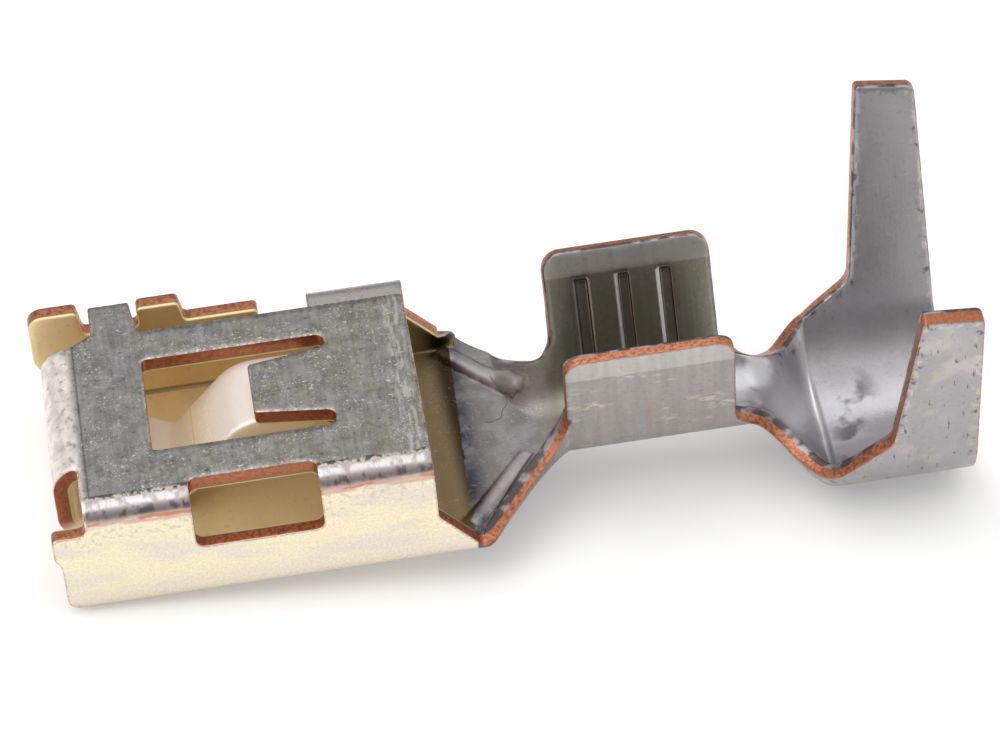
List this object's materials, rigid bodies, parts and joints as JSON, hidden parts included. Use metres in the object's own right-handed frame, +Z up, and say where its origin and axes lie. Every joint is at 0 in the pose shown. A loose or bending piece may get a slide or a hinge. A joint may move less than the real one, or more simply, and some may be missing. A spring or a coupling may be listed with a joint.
{
  "type": "female crimp terminal",
  "caption": "Folded sheet-metal female blade terminal: box contact with sprung tongue window, ribbed neck, and open U-shaped conductor and insulation crimp wings.",
  "frame": {"origin": "on the table plane, under the middle of the part's bounding box", "axes": "+X along the strip from blade entry to wire end, +Y to the far wall with the flange, +Z up from the table"},
  "size_m": [0.0216, 0.009, 0.0076],
  "materials": {
    "tin_plate": "satin tin plating on a copper alloy, cut edges bare"
  },
  "bodies": {
    "root": {"terminal": "tin_plate"}
  },
  "joints": []
}
